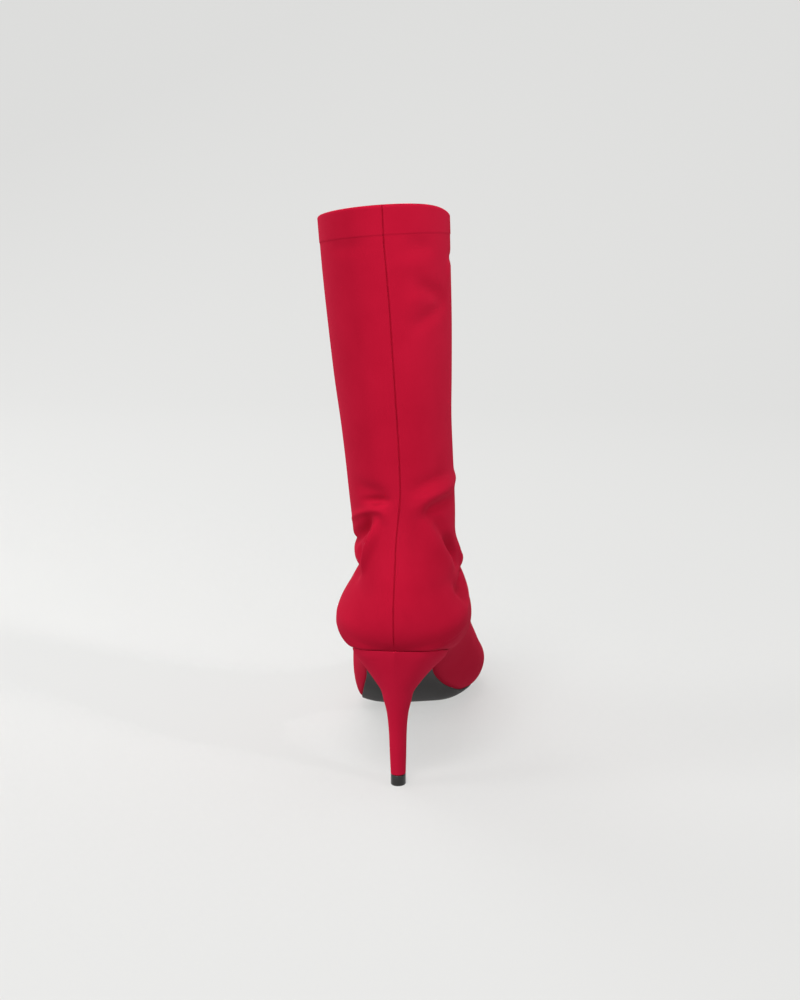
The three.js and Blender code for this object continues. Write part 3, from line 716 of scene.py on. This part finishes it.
def make_outsole(material):
    start = number_at(SEAT_BACK + LENGTH - OUTSOLE_TOE)
    numbers = numbers_between(start, number_at(BREAST + GAP), OUTSOLE_STEP)
    along = sections_at(numbers)["along"]
    thickness = mix(SHANK, OUTSOLE, smoothstep(*SHANK_ENDS, along))
    over = -GAP + 0 * thickness
    edges = (OUTSOLE_EDGE, OUTSOLE_ROUNDING)
    return make_board("sole_piece", numbers, OUTSOLE_INSET, over, thickness, *edges, material)


def make_insole(material):
    start = number_at(SEAT_BACK + LENGTH - INSOLE_TOE)
    numbers = numbers_between(start, number_at(SEAT_BACK + INSOLE_BACK), INSOLE_STEP)
    over = WALL + GAP + INSOLE + 0 * sections_at(numbers)["y"]
    edges = (1.0, INSOLE_ROUNDING)
    return make_board("sock_lining", numbers, INSOLE_INSET, over, INSOLE + 0 * over, *edges, material)


def stem_profile(t):
    """Half width of the heel's stem, t from -1 at its back to 1 at its breast."""
    return np.sqrt(np.maximum(0, 1 - np.where(t < 0, 1.0, BREAST_FLAT) * t * t))


def heel_ring(seat, row):
    """One ring of the heel, at a row of HEEL_LEVELS: the seat's outline going over into the
    stem's, its top edge rounded."""
    level, width, back, front, round_share = row
    y = seat["y"][:, 0]
    t = 2 * (y - SEAT_BACK) / (BREAST - SEAT_BACK) - 1
    edge = max(0.0, HEEL_EDGE - level * HEEL_HEIGHT) / HEEL_EDGE
    inset = HEEL_EDGE * (1 - math.sqrt(1 - edge ** 2))
    half = mix(TIP_WIDTH, SEAT_WIDTH, width) / 2 - inset
    back_y = mix(-TIP_DEPTH / 2, SEAT_BACK, back)
    front_y = mix(TIP_DEPTH / 2, BREAST, front)
    along = mix(back_y + inset, front_y, (t + 1) / 2)
    z = mix(sole_height(y, 0) - GAP, TIP_HEIGHT + GAP, level)
    sides = []
    for name, sign in (("foot_in", 1.0), ("foot_out", -1.0)):
        outline = seat[name][:, 0] / (SEAT_WIDTH / 2)
        profile = mix(outline, stem_profile(t), round_share)
        x = seat["shift"][:, 0] * (1 - round_share) + sign * half * profile
        sides.append(np.stack([x, along, z], axis=1))
    return np.concatenate([sides[0], sides[1][::-1]])


def make_heel(fabric):
    steps = np.linspace(0, 1, HEEL_COLUMNS)
    seat = sections_at(mix(SEAT_ROW, number_at(BREAST), steps ** HEEL_CROWDING))
    down = np.concatenate([HEEL_TOP_RINGS, np.linspace(*HEEL_RINGS), HEEL_FOOT_RINGS])
    rings = [heel_ring(seat, row) for row in rows_along(HEEL_LEVELS, down)]
    return loft_object("heel_cover", rings[::-1], [fabric])


def make_tip(material):
    t = -np.cos(np.linspace(0, math.pi, TIP_COLUMNS))
    edges = list(zip(*rounded_edge(TIP_EDGE)))
    levels = edges + [(inset, TIP_HEIGHT - z) for inset, z in edges[::-1]]
    rings = []
    for inset, z in levels:
        x = (TIP_WIDTH / 2 - inset) * stem_profile(t)
        y = (TIP_DEPTH / 2 - inset) * t
        right = np.stack([x, y, z + 0 * t], axis=1)
        left = np.stack([-x, y, z + 0 * t], axis=1)
        rings.append(np.concatenate([right, left[::-1]]))
    return loft_object("tip_piece", rings, [material])


def new_material(name, colour, roughness):
    material = bpy.data.materials.new(name)
    material.use_nodes = True
    shader = material.node_tree.nodes["Principled BSDF"]
    shader.inputs["Base Color"].default_value = (*colour, 1)
    shader.inputs["Roughness"].default_value = roughness
    return material, shader


def add_node(material, kind, **values):
    node = material.node_tree.nodes.new(kind)
    for name, value in values.items():
        node.inputs[name.replace("_", " ")].default_value = value
    return node


def link(material, source, target):
    material.node_tree.links.new(source, target)


def add_bump(material, shader, height, strength, distance):
    bump = add_node(material, "ShaderNodeBump", Strength=strength, Distance=distance)
    link(material, height, bump.inputs["Height"])
    link(material, bump.outputs["Normal"], shader.inputs["Normal"])


def fabric_material(name, light, dark):
    """Matte stretch fabric: a fine nap, hardly mottled, paler where it turns away."""
    material, shader = new_material(name, light, 0.85)
    shader.inputs["Specular IOR Level"].default_value = 0.02
    shader.inputs["Sheen Weight"].default_value = 0.25
    shader.inputs["Sheen Roughness"].default_value = 0.5
    shader.inputs["Sheen Tint"].default_value = FABRIC_SHEEN
    place = material.node_tree.nodes.new("ShaderNodeTexCoord")
    cloud = add_node(material, "ShaderNodeTexNoise", Scale=38.0, Detail=3.0, Roughness=0.55)
    link(material, place.outputs["Object"], cloud.inputs["Vector"])
    colours = material.node_tree.nodes.new("ShaderNodeValToRGB")
    colours.color_ramp.elements[0].position = 0.35
    colours.color_ramp.elements[0].color = (*dark, 1)
    colours.color_ramp.elements[1].position = 0.65
    colours.color_ramp.elements[1].color = (*light, 1)
    link(material, cloud.outputs["Fac"], colours.inputs["Fac"])
    link(material, colours.outputs["Color"], shader.inputs["Base Color"])
    nap = add_node(material, "ShaderNodeTexNoise", Scale=1500.0, Detail=2.0, Roughness=0.6)
    link(material, place.outputs["Object"], nap.inputs["Vector"])
    add_bump(material, shader, nap.outputs["Fac"], 0.35, 0.0002)
    return material


def plain_material(name, colour, roughness, gloss, grain, depth):
    """A plain surface with a fine even grain."""
    material, shader = new_material(name, colour, roughness)
    shader.inputs["Specular IOR Level"].default_value = gloss
    place = material.node_tree.nodes.new("ShaderNodeTexCoord")
    noise = add_node(material, "ShaderNodeTexNoise", Scale=grain, Detail=3.0, Roughness=0.6)
    link(material, place.outputs["Object"], noise.inputs["Vector"])
    add_bump(material, shader, noise.outputs["Fac"], 0.3, depth)
    return material


def make_stage():
    """Floor and backdrop in one curved sheet, seamless behind the boot."""
    profile = [(STAGE_FRONT, 0.0), (STAGE_BACK, 0.0)]
    for k in range(1, STAGE_STEPS + 1):
        angle = math.radians(90 * k / STAGE_STEPS)
        y = STAGE_BACK + STAGE_RADIUS * math.sin(angle)
        profile.append((y, STAGE_RADIUS * (1 - math.cos(angle))))
    profile.append((STAGE_BACK + STAGE_RADIUS, STAGE_TOP))
    points = []
    for y, z in profile:
        points += [(-STAGE_SIDE, y, z), (STAGE_SIDE, y, z)]
    faces = [[2 * k, 2 * k + 1, 2 * k + 3, 2 * k + 2] for k in range(len(profile) - 1)]
    mesh = bpy.data.meshes.new("studio_floor")
    mesh.from_pydata(points, [], faces)
    mesh.shade_smooth()
    floor = bpy.data.objects.new("studio_floor", mesh)
    bpy.context.scene.collection.objects.link(floor)
    material, shader = new_material("studio_paper", PAPER, 0.9)
    shader.inputs["Specular IOR Level"].default_value = 0.0
    shader.inputs["Emission Color"].default_value = PAPER_GLOW
    shader.inputs["Emission Strength"].default_value = 1.0
    mesh.materials.append(material)
    floor.visible_diffuse = False


def add_light(name, place, size, power, target, spread):
    data = bpy.data.lights.new(name, "AREA")
    data.spread = math.radians(spread)
    data.shape = "RECTANGLE"
    data.size, data.size_y = size
    data.energy = power
    light = bpy.data.objects.new(name, data)
    bpy.context.scene.collection.objects.link(light)
    light.location = place
    aim = Vector(target) - Vector(place)
    light.rotation_euler = aim.to_track_quat("-Z", "Y").to_euler()


def make_lights():
    for light in LIGHTS:
        add_light(*light)
    world = bpy.data.worlds.new("studio")
    world.use_nodes = True
    background = world.node_tree.nodes["Background"]
    background.inputs["Color"].default_value = SKY
    background.inputs["Strength"].default_value = SKY_STRENGTH
    bpy.context.scene.world = world
    bpy.context.scene.view_settings.view_transform = "Standard"


def make_camera():
    data = bpy.data.cameras.new("camera")
    data.sensor_fit = "HORIZONTAL"
    data.sensor_width = SENSOR_WIDTH
    data.lens = SENSOR_WIDTH * FOCAL_PIXELS / PICTURE_WIDTH
    data.clip_start = 0.05
    data.clip_end = 20
    camera = bpy.data.objects.new("camera", data)
    bpy.context.scene.collection.objects.link(camera)
    camera.location = np.array(CAMERA_PLACE) * MM
    turns = (90 - CAMERA_PITCH, CAMERA_ROLL, CAMERA_YAW)
    camera.rotation_euler = [math.radians(turn) for turn in turns]
    bpy.context.scene.camera = camera


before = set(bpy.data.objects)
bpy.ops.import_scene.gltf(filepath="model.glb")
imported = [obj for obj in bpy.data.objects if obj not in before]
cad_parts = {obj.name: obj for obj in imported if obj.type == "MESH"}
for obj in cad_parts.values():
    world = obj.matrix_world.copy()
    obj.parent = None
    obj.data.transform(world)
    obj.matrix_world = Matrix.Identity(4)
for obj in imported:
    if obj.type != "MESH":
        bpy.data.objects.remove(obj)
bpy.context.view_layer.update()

red_fabric = fabric_material("red_fabric", **FABRIC)
# The heel's fabric is painted paler than the upper's, standing in for light the down-facing heel
# lacks
heel_fabric_painted_lighter = fabric_material("heel_fabric_painted_lighter", **HEEL_FABRIC_PAINTED_LIGHTER)
lining = plain_material("lining", *FINISHES["lining"])
sole_finish = plain_material("sole_finish", *FINISHES["sole_finish"])
tip_finish = plain_material("tip_finish", *FINISHES["tip_finish"])

PIECES = [
    # piece, CAD node, material slot
    (make_upper(red_fabric, lining), "upper", "upper_fabric"),
    (make_outsole(sole_finish), "outsole", "outsole_rubber"),
    (make_heel(heel_fabric_painted_lighter), "heel", "heel_cover"),
    (make_tip(tip_finish), "heel_tip", "tip_plastic"),
    (make_insole(lining), "insole", "insole_lining"),
]
for piece, node, slot in PIECES:
    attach(piece, "root")
    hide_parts(node)

make_stage()
make_lights()
make_camera()
